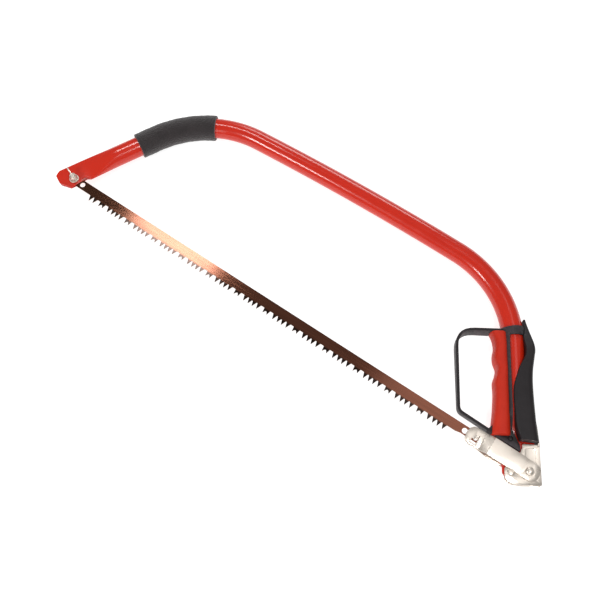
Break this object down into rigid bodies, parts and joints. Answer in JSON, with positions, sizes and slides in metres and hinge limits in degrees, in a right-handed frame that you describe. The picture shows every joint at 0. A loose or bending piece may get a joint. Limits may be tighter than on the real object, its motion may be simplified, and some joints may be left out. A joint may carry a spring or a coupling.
{
  "type": "bow saw",
  "caption": "Bow saw with a red tubular steel frame, raker-tooth blade, foam forward grip, and a handle with knuckle guard and lever tension.",
  "frame": {"origin": "bottom centre of the bounding box, with the saw lying flat on its side", "axes": "+X along the blade towards the handle, +Y in the plane of the saw from the teeth towards the bow, +Z through the thickness"},
  "size_m": [0.696, 0.2214, 0.033],
  "materials": {
    "red_paint": "gloss",
    "black_foam": "matte",
    "brown_steel": "satin",
    "zinc_plate": "satin",
    "black_steel": "satin",
    "black_plastic": "matte",
    "red_grip": "satin"
  },
  "bodies": {
    "root": {"bow_tube": "red_paint", "foam_grip": "black_foam", "blade_bolt": "zinc_plate", "flat_washer": "zinc_plate", "spring_washer": "zinc_plate", "handle_core": "black_plastic", "soft_grip": "red_grip", "handle_rivet": "black_steel", "lever_pivot_rivet": "zinc_plate", "pivot_bush": "zinc_plate"},
    "lever": {"lever_channel": "zinc_plate", "lever_grip": "black_plastic", "lever_grip_screw_1": "zinc_plate", "lever_grip_screw_2": "zinc_plate"},
    "link": {"link_front_cheek": "zinc_plate", "link_rear_cheek": "zinc_plate", "link_pivot_rivet": "zinc_plate", "link_spacer": "zinc_plate"},
    "blade": {"saw_blade": "brown_steel"},
    "wing_nut": {"wing_nut": "zinc_plate"}
  },
  "joints": [
    {"name": "lever_hinge", "type": "hinge", "parent": "root", "child": "lever", "pos_m": [0.31367, -0.09965, 0.0165], "axis": [0, 0, -1], "range_deg": [0, 110]},
    {"name": "link_hinge", "type": "hinge", "parent": "lever", "child": "link", "pos_m": [0.33007, -0.08855, 0.0165], "axis": [0, 0, 1], "range_deg": [0, 86.13]},
    {"name": "blade_hinge", "type": "hinge", "parent": "root", "child": "blade", "pos_m": [-0.32343, -0.08825, 0.0165], "axis": [0, 0, -1], "range_deg": [0, 12]},
    {"name": "wing_nut_spin", "type": "hinge", "parent": "root", "child": "wing_nut", "pos_m": [-0.32343, -0.08825, 0.0265], "axis": [0, 0, 1], "continuous": true}
  ],
  "couplings": [
    {"joint": "link_hinge", "follows": "lever_hinge", "ratio": 0.783}
  ]
}
